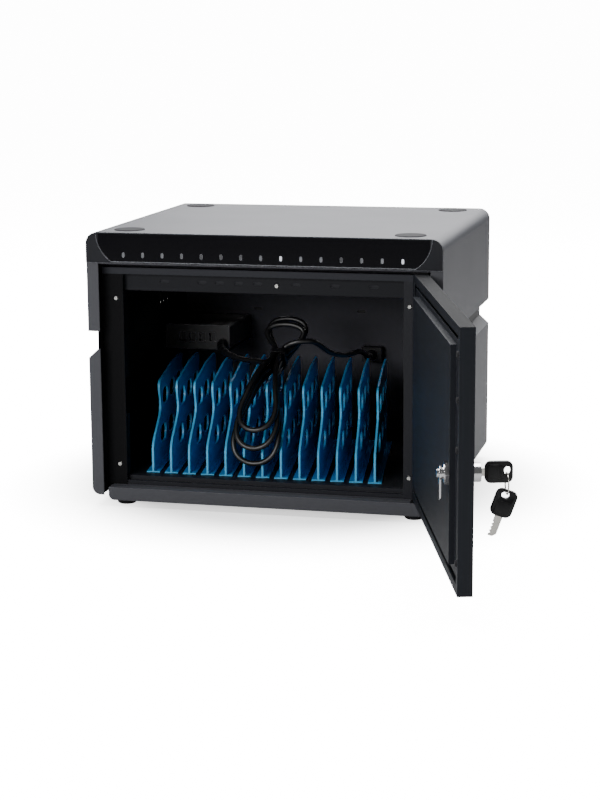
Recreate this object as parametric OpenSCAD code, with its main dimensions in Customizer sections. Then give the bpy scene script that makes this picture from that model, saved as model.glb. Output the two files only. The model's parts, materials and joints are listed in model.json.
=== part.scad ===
// Lockable desktop charging cabinet with thirteen upright dividers.
// Millimetres. X runs across, Y runs to the back and Z runs up.
// The origin is the middle of the shell's footprint, on the surface that the feet stand on.

/* [Cabinet] */
// Width of the outer shell
cab_w = 440; // [420:5:500]
// Depth of the outer shell, from its front strips to its back
cab_d = 370; // [360:5:400]
// Height of the outer shell, from its lower edge to the top
shell_h = 328; // [316:4:360]
// Radius of the shell's shoulders
shoulder_r = 14; // [8:1:14]
// Thickness of the shell's skin
skin_t = 1.5; // [1:0.25:2]
// Thickness of the folded sheet inside
sheet_t = 1.2; // [0.8:0.1:1.5]
// Width of the strips that edge the shell at the front and at the back
strip_w = 15; // [13:0.5:17]
// How far the base pan hangs below the shell
base_drop = 6; // [3:1:10]

/* [Grip channels] */
// How far the grip channel is let into each side
channel_d = 12; // [8:1:12]
// Upper edge of the grip channel, below the top
channel_drop = 122; // [110:2:130]
// Height of the grip channel at its inner wall
channel_h = 22; // [18:1:30]
// How much lower the skirt's edge is at its outer side
skirt_slope = 11; // [6:1:14]
// Radius of the skirt's lower corner
skirt_r = 10; // [5:1:11]

/* [Fascia] */
// Height of the gloss fascia
fascia_h = 37; // [34:1:44]
// How far the fascia stands proud of the shell
fascia_proud = 1.5; // [0.5:0.5:3]
// Depth of the shell's seat for the fascia
fascia_seat = 2.5; // [2:0.5:3]
// Depth of the fascia's inset centre panel
panel_inset = 1.2; // [0.6:0.2:1.6]
// Radius of the curved ends of the centre panel
swoosh_r = 42; // [36:1:48]
// Width of a cheek at the top of the fascia
cheek_w = 13; // [10:1:18]
// Number of indicator windows
window_n = 15; // [9:2:15]
// Distance between indicator windows
window_pitch = 24.6; // [20:0.2:26]
// Width of an indicator window
window_w = 3; // [2:0.5:4]
// Height of an indicator window
window_h = 6; // [5:0.5:8]

/* [Front frame] */
// How far the door frame is set back from the shell's front
recess_d = 20; // [19.5:0.5:24]
// Width of the left stile
stile_left_w = 26; // [24:0.5:28]
// Width of the right stile
stile_right_w = 37; // [35:1:42]
// Height of the top rail's front lip
rail_lip_h = 8; // [6:0.5:10]
// Height of the slotted face below the lip
rail_face_h = 21; // [18:1:24]

/* [Base and floor] */
// Height of the sill under the door
sill_h = 16; // [14:1:20]
// Width of the base pan
sill_w = 398; // [390:1:404]
// Radius of the base pan's lower corners
sill_r = 7; // [3:1:10]
// Height of the floor tray above the sill
tray_h = 10; // [8:1:12]
// Diameter of a rubber foot
foot_d = 24; // [18:1:30]
// Height of a rubber foot
foot_h = 8; // [6:1:14]

/* [Dividers] */
// Number of dividers
divider_n = 13; // [13:1:13]
// Distance between dividers
divider_pitch = 23.75; // [21:0.25:24]
// Thickness of a divider
divider_t = 2.6; // [2:0.2:3]
// Length of a divider from front to back
divider_l = 235; // [205:5:235]
// Height of a divider at its front corner
divider_h = 108; // [104:1:112]
// Rise of the divider's top edge towards the back
divider_rise = 8; // [6:1:16]
// Width of the divider's foot strip
divider_foot_w = 16.5; // [12:0.5:17]
// How far the divider's wavy front edge swings back
wave_swing = 60; // [50:1:62]
// Slant of the dividers: their back ends stand this many degrees to the left
divider_slant = 8; // [0:1:9]

/* [Door] */
// Thickness of the door
door_t = 16; // [15:0.5:16]
// How far the inner panel stands above the door's inner lips
panel_rise = 5; // [3:0.5:5]
// Angle at which the door stands open
door_open = 107; // [0:1:110]
// Diameter of the pivot pins
pivot_d = 6; // [4:0.5:6]
// Distance from the pivot axis to the door's hinge edge
pivot_edge = 8; // [7.5:0.25:8]

/* [Lock and keys] */
// Diameter of the lock's barrel
barrel_d = 18; // [16:0.5:19]
// Diameter of the lock's plug
plug_d = 12; // [10.5:0.5:12.5]
// Height of the lock above the door's lower edge
lock_rise = 119; // [110:1:140]
// Distance from the lock's axis to the door's free edge
lock_edge = 40; // [38:0.5:42]
// Reach of the lock's cam
cam_l = 28; // [26:0.5:30]
// Length of a key's head
key_l = 29; // [26:1:32]
// Height of a key's head
key_h = 23; // [20:1:25]

/* [Charging lead] */
// Diameter of the lead
lead_d = 7; // [5:0.5:7]
// Length of the hank's lower loops
hank_low = 161; // [160:2:180]
// Length of the hank's upper loops
hank_up = 75; // [64:2:80]
// Fullness of the hank's loops
hank_full = 68; // [50:2:70]

/* [Hidden] */
$fn = 48;
base_z = foot_h;
shell_z = base_z + base_drop;
top_z = shell_z + shell_h;
front_y = -cab_d / 2;
back_y = cab_d / 2;
channel_z = top_z - channel_drop;
groove_z = channel_z - channel_h;
fascia_z = top_z - fascia_h;
ceiling_gap = 2;
ceiling_z = fascia_z - ceiling_gap;
wall_x = cab_w / 2 - channel_d;
room_x = wall_x - sheet_t;
strip_x = cab_w / 2 - strip_w;
sill_z = base_z + sill_h;
floor_z = sill_z + tray_h;
frame_y = front_y + recess_d;
rail_z = ceiling_z - 6;
lip_z = rail_z - rail_lip_h;
rail_back_y = frame_y + 10;
stile_in_l = -room_x + stile_left_w;
stile_in_r = room_x - stile_right_w;
panel_y = back_y - skin_t;
inner_back_y = panel_y - sheet_t;
flange_l = 14;
window_z = fascia_z + 10;
board_y = front_y + fascia_seat + 4;
board_t = 1.6;

// Door and pivots, given where the door is shut
leaf_t = 2;
leaf_w = 20;
run_gap = 0.6;
door_gap = 2;
door_z0 = sill_z + leaf_t + run_gap;
door_z1 = ceiling_z - leaf_t - run_gap;
strip_clear = 13;
pivot_x = strip_x - strip_clear;
pivot_y = front_y + door_t / 2;
door_x0 = -strip_x + door_gap;
door_x1 = pivot_x + pivot_edge;
pivot_fit = 0.08;
pivot_len = 12;
door_lip_w = 10;
door_skin_t = 1.5;
door_inner_y = front_y + door_t;
liner_y = door_inner_y - door_skin_t - sheet_t;
liner_x0 = door_x0 + 30;
liner_x1 = door_x1 - 44;
liner_z0 = door_z0 + 26;
liner_z1 = door_z1 - 22;

// Lock, given where the door is shut
lock_x = door_x0 + lock_edge;
lock_z = door_z0 + lock_rise;
rim_t = 12;
nut_gap = 0.05;
nut_y = door_inner_y + panel_rise + nut_gap;
nut_t = 4;
barrel_end = nut_y + nut_t + 0.8;
plug_end = barrel_end + 2.4;
cam_t = 2;
cam_w = 9;
plug_fit = 0.08;
blade_w = 8;
blade_t = 2;
blade_l = 22;
blade_gap = 0.3;
neck_l = 3;
head_t = 7;
hole_d = 6;
ring_d = 22;
wire_d = 1.6;
spare_tilt = 20;

// Dividers
divider_x0 = -156;
divider_y = front_y + 48;
divider_foot_t = 1.6;

// Charging lead
unit_w = 90;
unit_l = 116;
unit_h = 33;
unit_x = -room_x + 50;
unit_z = floor_z + divider_foot_t + divider_h + divider_rise + 6;
unit_y = inner_back_y - unit_l;
divider_top_z = floor_z + divider_h + divider_rise;
inlet_w = 28;
inlet_h = 20;
inlet_l = 18;
inlet_x = 62;
inlet_z = divider_top_z - 10;
gland_l = 14;
gland_y = panel_y - inlet_l - gland_l;

// Colours
shell_c = [0.25, 0.255, 0.275];
gloss_c = [0.05, 0.05, 0.06];
inside_c = [0.10, 0.10, 0.115];
steel_c = [0.78, 0.78, 0.76];
rubber_c = [0.07, 0.07, 0.07];
blue_c = [0.05, 0.50, 0.78];
door_c = [0.16, 0.165, 0.185];
white_c = [0.92, 0.94, 0.96];
board_c = [0.06, 0.30, 0.16];

DIVIDERS = [for (i = [1:divider_n]) str("divider_", i < 10 ? "0" : "", i)];

// ---- Shared shapes ----

// Extrudes an outline drawn in X and Z from depth y0 to depth y1
module along_depth(y0, y1) {
    translate([0, y1, 0]) rotate([90, 0, 0]) linear_extrude(y1 - y0) children();
}

// Extrudes an outline drawn in Y and Z from x0 to x1
module across(x0, x1) {
    translate([x0, 0, 0]) rotate([90, 0, 90]) linear_extrude(x1 - x0) children();
}

// A box between two corners
module span(a, b) {
    translate(a) cube(b - a);
}

// A slab seen from the front, with round upper or lower corners
module slab(w, z0, z1, rt = 0, rb = 0) {
    translate([-w / 2, z0 + rb]) square([w, z1 - z0 - rt - rb]);
    if (rt > 0) translate([-w / 2 + rt, z1 - rt]) square([w - 2 * rt, rt]);
    if (rb > 0) translate([-w / 2 + rb, z0]) square([w - 2 * rb, rb]);
    for (s = [-1, 1]) {
        if (rt > 0) translate([s * (w / 2 - rt), z1 - rt]) circle(rt);
        if (rb > 0) translate([s * (w / 2 - rb), z0 + rb]) circle(rb);
    }
}

// An upright slot with round ends
module slot(w, h) {
    square([w, h - w], center = true);
    for (s = [-1, 1]) translate([0, s * (h - w) / 2]) circle(w / 2);
}

// A level slot with round ends
module level_slot(l, h) {
    rotate(90) slot(h, l);
}

// A cylinder along Y, from y0 to y1
module rod_y(x, z, y0, y1, d) {
    translate([x, y0, z]) rotate([-90, 0, 0]) cylinder(d = d, h = y1 - y0);
}

// A low pan head on a face that looks towards -Y
module pan_head(x, y, z, d, h) {
    translate([x, y, z]) rotate([90, 0, 0]) difference() {
        cylinder(d1 = d, d2 = d * 0.7, h = h);
        for (a = [0, 90]) rotate(a) translate([-d * 0.25, -0.4, h * 0.5]) cube([d * 0.5, 0.8, h]);
    }
}

// Carries what is drawn on the shut door to where the door stands open
module on_door() {
    translate([pivot_x, pivot_y, 0]) rotate(door_open) translate([-pivot_x, -pivot_y, 0])
        children();
}

// ---- Outer shell ----

module shell_ring(y0, y1) {
    along_depth(y0, y1) difference() {
        slab(cab_w, channel_z, top_z, rt = shoulder_r);
        slab(cab_w - 2 * strip_w, channel_z - 1, top_z - strip_w);
    }
}

module top_shell() {
    color(shell_c) difference() {
        union() {
            along_depth(front_y, back_y) difference() {
                slab(cab_w, channel_z, top_z, rt = shoulder_r);
                slab(cab_w - 2 * skin_t, channel_z - 1, top_z - skin_t, rt = shoulder_r - skin_t);
            }
            for (s = [-1, 1]) translate([s * (wall_x + cab_w / 2) / 2, 0, channel_z + skin_t / 2])
                cube([channel_d, cab_d, skin_t], center = true);
            shell_ring(front_y, front_y + skin_t);
            intersection() {
                shell_ring(front_y + fascia_seat, front_y + fascia_seat + skin_t);
                span([-cab_w / 2, front_y, fascia_z], [cab_w / 2, back_y, top_z]);
            }
            shell_ring(back_y - skin_t, back_y);
        }
        span([-cab_w, front_y - 1, fascia_z], [cab_w, front_y + fascia_seat, top_z + 1]);
    }
}

// The skirt's section: slanted top edge and a round lower corner
module skirt_section(inset = 0, x_in = wall_x) {
    x_out = cab_w / 2 - inset;
    z0 = shell_z + inset;
    r = skirt_r - inset;
    polygon([
        [x_in, z0 + r], [x_out, z0 + r],
        [x_out, groove_z - skirt_slope - inset], [wall_x, groove_z - inset],
        [x_in, groove_z - inset]
    ]);
    translate([x_in, z0]) square([x_out - x_in - r, r]);
    intersection() {
        translate([x_out - r, z0 + r]) circle(r);
        translate([x_in, z0]) square([x_out - x_in, r]);
    }
}

module skirt() {
    color(shell_c) {
        along_depth(front_y, back_y) difference() {
            skirt_section();
            skirt_section(skin_t, wall_x - 1);
        }
        for (y = [front_y, back_y - skin_t])
            along_depth(y, y + skin_t) skirt_section(0, strip_x);
    }
}

module skirt_right() {
    skirt();
}

module skirt_left() {
    mirror([1, 0, 0]) skirt();
}

module stacking_pads() {
    inset_x = 45;
    inset_y = 34;
    color(rubber_c) for (sx = [-1, 1], sy = [-1, 1])
        translate([sx * (cab_w / 2 - inset_x), sy * (cab_d / 2 - inset_y), top_z]) {
            cylinder(d1 = 38, d2 = 36.5, h = 1);
        }
}

// ---- Fascia and its electronics ----

module centre_panel_outline() {
    round_x = cab_w / 2 - cheek_w - swoosh_r;
    edge_lip = 1.6;
    translate([-round_x, fascia_z + edge_lip]) square([2 * round_x, fascia_h]);
    for (s = [-1, 1]) intersection() {
        translate([s * round_x, top_z]) circle(swoosh_r, $fn = 96);
        translate([-cab_w / 2, fascia_z + edge_lip]) square([cab_w, fascia_h]);
    }
}

module windows(w, h) {
    for (i = [0:window_n - 1])
        translate([(i - (window_n - 1) / 2) * window_pitch, window_z]) slot(w, h);
}

module fascia() {
    face_y = front_y - fascia_proud;
    color(gloss_c) {
        difference() {
            along_depth(face_y, front_y + fascia_seat)
                slab(cab_w, fascia_z, top_z, rt = shoulder_r);
            along_depth(face_y - 1, face_y + panel_inset) centre_panel_outline();
            along_depth(face_y - 1, back_y) windows(window_w, window_h);
        }
        for (s = [-1, 1], x = [60, 150])
            rod_y(s * x, window_z + 8, front_y + fascia_seat, board_y, 6);
    }
}

module indicator_windows() {
    clear = 0.2;
    color(white_c) along_depth(front_y - fascia_proud + panel_inset, front_y + fascia_seat)
        windows(window_w - clear, window_h - clear);
}

module led_board() {
    led = 3;
    color(board_c) {
        span([-194, board_y, window_z - 6], [194, board_y + board_t, window_z + 18]);
        for (i = [0:window_n - 1])
            translate([(i - (window_n - 1) / 2) * window_pitch - led / 2, board_y - led, window_z - led / 2])
                cube(led);
    }
}

// ---- Base ----

module base_pan() {
    pan_back = panel_y;
    color(shell_c) difference() {
        union() {
            along_depth(front_y, pan_back) difference() {
                slab(sill_w, base_z, sill_z, rb = sill_r);
                slab(sill_w - 2 * skin_t, base_z + skin_t, sill_z + 1, rb = sill_r - skin_t);
            }
            for (y = [front_y, pan_back - skin_t])
                along_depth(y, y + skin_t) slab(sill_w, base_z, sill_z, rb = sill_r);
            span([-sill_w / 2, front_y, sill_z - skin_t], [sill_w / 2, frame_y + 10, sill_z]);
        }
        at_feet() cylinder(d = 4.2, h = 3 * skin_t, center = true);
    }
}

module at_feet() {
    for (sx = [-1, 1], sy = [-1, 1])
        translate([sx * (sill_w / 2 - 16), sy * (cab_d / 2 - 24), base_z]) children();
}

module feet() {
    rim = 1.5;
    color(rubber_c) at_feet() translate([0, 0, -foot_h]) rotate_extrude() polygon([
        [4.5, 0], [foot_d / 2 - rim, 0], [foot_d / 2, rim], [foot_d / 2, foot_h],
        [2.2, foot_h], [2.2, foot_h - 3], [4.5, foot_h - 3]
    ]);
}

module foot_screws() {
    color(steel_c) at_feet() translate([0, 0, -5.4]) {
        cylinder(d = 7.6, h = 2.4);
        cylinder(d = 4, h = 5.4 + skin_t + 3);
    }
}

// ---- Inner carcass ----

module wall_right() {
    color(inside_c) difference() {
        span([room_x, front_y + skin_t, shell_z + skin_t], [wall_x, inner_back_y, ceiling_z]);
        for (i = [0:5]) translate([wall_x, back_y - 120 + i * 14, floor_z + 190])
            rotate([90, 0, 90]) linear_extrude(4 * sheet_t, center = true) slot(4, 22);
    }
}

module wall_left() {
    mirror([1, 0, 0]) wall_right();
}

module ceiling() {
    color(inside_c) span([-wall_x, front_y + fascia_seat, ceiling_z],
                         [wall_x, inner_back_y, ceiling_z + sheet_t]);
}

module back_panel() {
    color(inside_c) difference() {
        span([-wall_x, inner_back_y, sill_z], [wall_x, panel_y, top_z - skin_t]);
        for (s = [-1, 1], i = [0:7])
            along_y_cut(s * (60 + i * 12), top_z - 76) slot(5, 30);
        along_y_cut(inlet_x, inlet_z) square([inlet_w, inlet_h], center = true);
        for (x = [-104, 44]) along_y_cut(x, ceiling_z - 106) level_slot(12, 4);
    }
}

module along_y_cut(x, z) {
    translate([x, back_y + 5, z]) rotate([90, 0, 0]) linear_extrude(20) children();
}

module power_inlet() {
    lip = 5;
    color(rubber_c) difference() {
        union() {
            translate([inlet_x, panel_y + 1.25, inlet_z])
                cube([inlet_w + 2 * lip, 2.5, inlet_h + 2 * lip], center = true);
            translate([inlet_x, panel_y - inlet_l / 2, inlet_z])
                cube([inlet_w - 0.3, inlet_l, inlet_h - 0.3], center = true);
        }
        translate([inlet_x, panel_y - 5, inlet_z]) cube([inlet_w - 4, 16, inlet_h - 4], center = true);
    }
    color(steel_c) for (dx = [-7, 0, 7])
        translate([inlet_x + dx, panel_y - 9, inlet_z + (dx == 0 ? 2 : -2)])
            cube([2, 8.1, 4], center = true);
}

module floor_tray() {
    y0 = frame_y + sheet_t + 0.3;
    step_z = sill_z + tray_h / 2;
    y1 = y0 + 8.5;
    color(inside_c) {
        across(-room_x, room_x) {
            translate([y0, sill_z]) square([sheet_t, step_z - sill_z]);
            translate([y0, step_z - sheet_t]) square([y1 - y0, sheet_t]);
            translate([y1 - sheet_t, step_z - sheet_t]) square([sheet_t, floor_z - step_z + sheet_t]);
            translate([y1 - sheet_t, floor_z - sheet_t]) square([inner_back_y - y1 + sheet_t, sheet_t]);
            translate([inner_back_y - sheet_t, sill_z]) square([sheet_t, tray_h]);
        }
        for (x = [-room_x, room_x - sheet_t])
            span([x, y1, sill_z], [x + sheet_t, inner_back_y, floor_z]);
    }
}

module top_rail() {
    face_z = lip_z - rail_face_h;
    riser_y = frame_y + 14;
    color(inside_c) difference() {
        across(-room_x, room_x) {
            translate([frame_y, lip_z]) square([sheet_t, rail_lip_h]);
            translate([frame_y, rail_z - sheet_t]) square([riser_y - frame_y, sheet_t]);
            translate([riser_y - sheet_t, rail_z - sheet_t]) square([sheet_t, ceiling_z - rail_z + sheet_t]);
            translate([frame_y, lip_z]) square([rail_back_y - frame_y, sheet_t]);
            translate([rail_back_y - sheet_t, face_z]) square([sheet_t, lip_z - face_z + sheet_t]);
            translate([rail_back_y - sheet_t, face_z]) square([9, sheet_t]);
        }
        for (x = [-130, -82, -60, -36, -12, 36, 84, 132])
            translate([x, rail_back_y + 4, lip_z - 9]) rotate([90, 0, 0]) linear_extrude(12)
                level_slot(11, 4);
    }
}

module stile_left() {
    strike_z = lock_z;
    color(inside_c) difference() {
        union() {
            span([-room_x, frame_y, sill_z], [stile_in_l, frame_y + sheet_t, lip_z]);
            span([stile_in_l - sheet_t, frame_y, floor_z],
                 [stile_in_l, frame_y + flange_l, lip_z - rail_face_h]);
            span([-room_x, frame_y, floor_z],
                 [-room_x + sheet_t, frame_y + flange_l, lip_z - rail_face_h]);
        }
        span([stile_in_l - 3, frame_y + sheet_t, strike_z - cam_l - 5],
             [stile_in_l + 1, frame_y + flange_l + 1, strike_z + 14]);
    }
}

module stile_right() {
    color(inside_c) {
        span([stile_in_r, frame_y, sill_z], [room_x, frame_y + sheet_t, lip_z]);
        span([stile_in_r, frame_y, floor_z],
             [stile_in_r + sheet_t, frame_y + flange_l, lip_z - rail_face_h]);
        span([room_x - sheet_t, frame_y, floor_z],
             [room_x, frame_y + flange_l, lip_z - rail_face_h]);
    }
}

module frame_screws() {
    head = 6;
    color(steel_c) {
        for (z = [floor_z + 16, lip_z - 30]) {
            pan_head(stile_in_l - 9, frame_y, z, head, 1.6);
            pan_head(stile_in_r + 7, frame_y, z, head, 1.6);
        }
        pan_head(12, rail_back_y - sheet_t, lip_z - 11, head, 1.6);
        for (z = [floor_z + 30, lip_z - 38])
            translate([-room_x, frame_y + 42, z]) rotate([0, 90, 0]) cylinder(d1 = head, d2 = 4, h = 1.6);
    }
}

// ---- Pivots ----

module leaf_plate(z0, y1) {
    span([pivot_x - leaf_w / 2, front_y + 1, z0], [pivot_x + leaf_w / 2, y1, z0 + leaf_t]);
}

module upper_pivot() {
    color(steel_c) {
        leaf_plate(ceiling_z - leaf_t, frame_y + 12);
        translate([pivot_x, pivot_y, door_z1 - pivot_len])
            cylinder(d = pivot_d, h = ceiling_z - leaf_t / 2 - door_z1 + pivot_len);
    }
}

module lower_pivot() {
    color(steel_c) {
        leaf_plate(sill_z, frame_y - 0.5);
        translate([pivot_x, pivot_y, sill_z + leaf_t / 2])
            cylinder(d = pivot_d, h = door_z0 - sill_z - leaf_t / 2 + pivot_len);
    }
}

// ---- Dividers ----

function ease(t) = t <= 0 ? 0 : t >= 1 ? 1 : t * t * (3 - 2 * t);
function wave(h) = wave_swing * ease((h - 30) / 44) - 0.14 * wave_swing * ease((h - 76) / 22);

module divider_profile() {
    steps = 16;
    corner_r = 9;
    back_r = 12;
    rise_l = 92;
    top_front = wave(divider_h) + corner_r;
    top_back_z = divider_h + divider_rise;
    polygon(concat(
        [for (k = [0:steps]) let (h = k / steps * (divider_h - corner_r)) [wave(h), h]],
        [for (a = [160:-20:100])
            [top_front + corner_r * cos(a), divider_h - corner_r + corner_r * sin(a)]],
        [[top_front + 3, divider_h], [top_front + rise_l, top_back_z]],
        [for (a = [90:-15:0])
            [divider_l - back_r + back_r * cos(a), top_back_z - back_r + back_r * sin(a)]],
        [[divider_l, 0]]
    ));
}

module divider_holes() {
    upper_l = 40;
    lower_l = 42;
    edge = 12;
    upper_y = wave_swing + 14;
    lower_y = wave_swing - 6;
    for (i = [0:2]) {
        translate([upper_y + upper_l / 2 + i * (divider_l - edge - upper_l - upper_y) / 2, 82])
            level_slot(upper_l, 22);
        translate([lower_y + lower_l / 2 + i * (divider_l - edge - lower_l - lower_y) / 2, 36])
            level_slot(lower_l, 22);
    }
}

module divider(i) {
    color(blue_c) translate([divider_x0 + i * divider_pitch, divider_y, floor_z])
    rotate([0, 0, divider_slant]) {
        span([-divider_foot_w / 2, 0, 0], [divider_foot_w / 2, divider_l, divider_foot_t]);
        across(-divider_t / 2, divider_t / 2) difference() {
            divider_profile();
            divider_holes();
        }
    }
}

// ---- Charging unit and its lead ----

module power_unit() {
    r = 4;
    color(rubber_c) difference() {
        translate([unit_x, unit_y, unit_z]) along_depth(0, unit_l - 12)
            translate([0, 0]) slab(unit_w, 0, unit_h, rt = r, rb = r);
        for (i = [0:3]) translate([unit_x - 21 + i * 14, unit_y, unit_z + unit_h / 2])
            cube([9, 12, 12], center = true);
        rod_y(lead_x0, lead_z0, unit_y - 1, unit_y + 5, lead_d);
    }
}

module unit_bracket() {
    color(inside_c) {
        span([-room_x, unit_y + 6, unit_z - sheet_t], [unit_x + unit_w / 2, inner_back_y, unit_z]);
        span([-room_x, unit_y + 6, unit_z], [-room_x + sheet_t, inner_back_y, unit_z + 22]);
    }
}

module cable_gland() {
    color(rubber_c) difference() {
        translate([inlet_x, gland_y, inlet_z]) rotate([-90, 0, 0])
            cylinder(d1 = lead_d + 4, d2 = 15, h = gland_l);
        rod_y(inlet_x, inlet_z, gland_y - 1, gland_y + 8, lead_d);
    }
}

// The hank lies bent over the dividers: its lower loops hang down in front of them, its waist
// lies on their upper edges and its upper loops stand up behind the waist.
hank_gap = 0.7;
layer = lead_d + 1.4;
waist_half = lead_d / 2 + 0.8;
hank_x = -17;
hank_lean = 0.04;
half_turns = 5;

// Middle line of the innermost layer, from far below the waist to far above it, at even steps:
// its depth from the dividers' feet and its height above the dividers' front corners
spine_step = 22;
spine_low = 9;
spine_knots = [
    [-4.6, -126], [-4.6, -104], [-4.4, -82], [2.6, -61.1], [15, -42.9], [28.4, -25.4],
    [42, -7.6], [60.4, 5.4], [82, 11.2], [103, 17.6], [122.3, 28.2], [136.4, 45.1],
    [146.7, 64.5], [156.5, 84.2], [166.3, 103.9]
];

function knot(i) = spine_knots[min(max(i, 0), len(spine_knots) - 1)];

// A point of the hank's middle line: v runs up and back from the waist, w off the dividers
function spine(v, w) =
    let (
        s = v / spine_step + spine_low,
        i = floor(s),
        t = s - i,
        a = knot(i - 1),
        b = knot(i),
        c = knot(i + 1),
        d = knot(i + 2),
        p = 0.5 * (2 * b + (c - a) * t + (2 * a - 5 * b + 4 * c - d) * t * t
                   + (3 * b - a - 3 * c + d) * t * t * t),
        q = 0.5 * ((c - a) + 2 * (2 * a - 5 * b + 4 * c - d) * t
                   + 3 * (3 * b - a - 3 * c + d) * t * t),
        n = [-q[1], q[0]] / norm(q),
        r = p + (w + lead_d / 2 - 3.5) * n
    )
    [divider_y + r[0], floor_z + divider_h + r[1]];

function hank_point(u, v, level) =
    let (p = spine(v, level * layer)) [hank_x + u + hank_lean * v, p[0], p[1]];

// The path of the looped lead, at t half turns from its start at the waist
function loop_point(t) =
    let (
        lobe = floor(min(t, half_turns - 0.0001)),
        a = 180 * t,
        up = lobe % 2 == 1,
        reach = up ? hank_up - 5 * lobe : hank_low - 9 * lobe,
        full = up ? hank_full * 0.8 : hank_full - 4 * lobe,
        u = -cos(a) * (waist_half + full * pow(sin(a), 2)),
        v = -sin(a) * reach,
        level = floor(lobe / 2) + (up ? ease(t - lobe) : 0)
    )
    hank_point(u, v, level);

hank_steps = 24 * half_turns / 2;
hank_path = [for (k = [0:hank_steps]) loop_point(k * half_turns / hank_steps)];

// The lead leaves the charging unit, lies over the dividers and joins the hank's waist
lead_x0 = unit_x + 36;
lead_z0 = unit_z + 9;
lead_route = [
    [lead_x0, unit_y + 4, lead_z0],
    [lead_x0, unit_y - 10, lead_z0],
    [lead_x0 + 5, unit_y - 23, lead_z0 - 4],
    [lead_x0 + 21, unit_y - 39, lead_z0 - 9],
    [-78, unit_y - 51, divider_top_z + 4.8],
    [-55, unit_y - 61, divider_top_z + 4.8],
    [-36, unit_y - 73, divider_top_z + 5]
];
tail_route = [
    hank_point(14, 24, 2.3),
    hank_point(28, 30, 2.3),
    hank_point(42, 34, 1.4),
    [38, divider_y + 148, divider_top_z + 20],
    [48, divider_y + 177, divider_top_z + 11],
    [56, divider_y + 207, divider_top_z + 8],
    [60, divider_y + 232, divider_top_z + 7],
    [inlet_x, divider_y + 255, inlet_z + 10],
    [inlet_x, gland_y - 16, inlet_z + 2],
    [inlet_x, gland_y, inlet_z],
    [inlet_x, gland_y + 8, inlet_z]
];

function unit_v(v) = v / norm(v);
hank_in = unit_v(hank_path[1] - hank_path[0]);
hank_out = unit_v(hank_path[hank_steps] - hank_path[hank_steps - 1]);
lead_path = smooth(concat(lead_route, [hank_path[0] - 14 * hank_in, hank_path[0]]), 3);
tail_path = smooth(concat([hank_path[hank_steps], hank_path[hank_steps] + 14 * hank_out], tail_route), 3);

// A smooth path through points, with n steps between each pair
function smooth(p, n) = concat(
    [for (i = [0:len(p) - 2], k = [0:n - 1])
        let (
            t = k / n,
            a = p[max(i - 1, 0)],
            b = p[i],
            c = p[i + 1],
            d = p[min(i + 2, len(p) - 1)]
        )
        0.5 * (2 * b + (c - a) * t + (2 * a - 5 * b + 4 * c - d) * t * t
               + (3 * b - a - 3 * c + d) * t * t * t)],
    [p[len(p) - 1]]
);

// A tube of n sides swept along a path, with one frame carried from ring to ring
function side_of(t, last) = unit_v(last - (last * t) * t);
function frames(p, i = 0, last = [0.2, 0.1, 1]) =
    i >= len(p) ? [] :
    let (
        t = unit_v(p[min(i + 1, len(p) - 1)] - p[max(i - 1, 0)]),
        s = side_of(t, last)
    )
    concat([[s, cross(t, s)]], frames(p, i + 1, s));

module tube(p, d, n) {
    f = frames(p);
    pts = [for (i = [0:len(p) - 1], k = [0:n - 1])
        p[i] + d / 2 * (cos(360 * k / n) * f[i][0] + sin(360 * k / n) * f[i][1])];
    rings = len(p);
    polyhedron(pts, concat(
        [[for (k = [n - 1:-1:0]) k]],
        [for (i = [0:rings - 2], k = [0:n - 1])
            [i * n + k, i * n + (k + 1) % n, (i + 1) * n + (k + 1) % n]],
        [for (i = [0:rings - 2], k = [0:n - 1])
            [i * n + k, (i + 1) * n + (k + 1) % n, (i + 1) * n + k]],
        [[for (k = [0:n - 1]) (rings - 1) * n + k]]
    ));
}

module cord_lead() {
    color(rubber_c) tube(lead_path, lead_d, 8);
}

module cord_hank() {
    color(rubber_c) tube(hank_path, lead_d, 8);
}

module cord_tail() {
    color(rubber_c) tube(tail_path, lead_d, 8);
}

// The tie round the hank's waist, square to the runs
module cord_tie() {
    band = 10;
    wrap = 1.4;
    clear = 0.9;
    w0 = -lead_d / 2 - clear;
    w1 = 2 * layer + lead_d / 2 + clear;
    half = waist_half + lead_d / 2 + clear;
    c = spine(0, 0);
    d = spine(2, 0) - spine(-2, 0);
    color(rubber_c) translate([hank_x, c[0], c[1]]) rotate([atan2(d[1], d[0]), 0, 0]) difference() {
        span([-half - wrap, -band / 2, w0 - wrap], [half + wrap, band / 2, w1 + wrap]);
        span([-half, -band, w0], [half, band, w1]);
    }
}

// Least gap of the hank to itself, measured between path points more than 30 mm apart along it
function path_gap(p, skip) = min([for (i = [0:len(p) - 1], j = [0:len(p) - 1])
    if (j > i + skip) norm(p[i] - p[j])]) - lead_d;
echo(hank_self_gap = path_gap([for (k = [0:4 * hank_steps]) loop_point(k * half_turns / (4 * hank_steps))], 20));
function path_length(p) = [for (i = [1:len(p) - 1]) norm(p[i] - p[i - 1])] * [for (i = [1:len(p) - 1]) 1];
echo(lead_length = path_length(lead_path) + path_length(tail_path)
     + path_length([for (k = [0:8 * hank_steps]) loop_point(k * half_turns / (8 * hank_steps))]));

// ---- Door, drawn shut and turned open ----

module pivot_block(z0, z1) {
    span([pivot_x - 12, front_y + door_skin_t, z0], [door_x1, door_inner_y - door_skin_t - sheet_t, z1]);
}

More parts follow.
